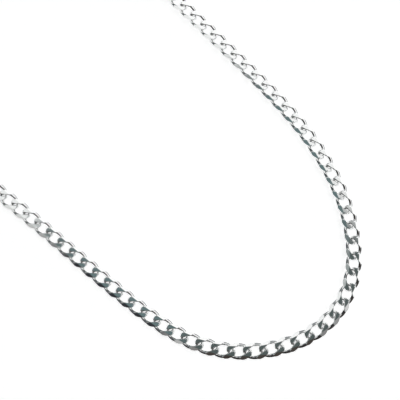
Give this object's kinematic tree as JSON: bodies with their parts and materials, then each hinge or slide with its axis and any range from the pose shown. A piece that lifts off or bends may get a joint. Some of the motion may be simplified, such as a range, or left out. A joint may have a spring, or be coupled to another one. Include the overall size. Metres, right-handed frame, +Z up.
{
  "type": "curb chain necklace",
  "caption": "Flat curb chain necklace lying in one long closed loop, of twisted oval links that pass through each other, ground flat above and below, with a plain box clasp.",
  "frame": {"origin": "on the surface that the necklace lies on, under the middle of the loop's box", "axes": "+Y runs from the front of the necklace to its clasp, +X is to the wearer's left when the front faces -Y, and +Z is up from the surface"},
  "size_m": [0.087, 0.213, 0.0018],
  "materials": {
    "polished_links": "polished bright silver, with flat ground faces",
    "polished_clasp": "polished bright silver"
  },
  "bodies": {
    "root": {"chain_left": "polished_links", "chain_right": "polished_links", "clasp": "polished_clasp"}
  },
  "joints": []
}
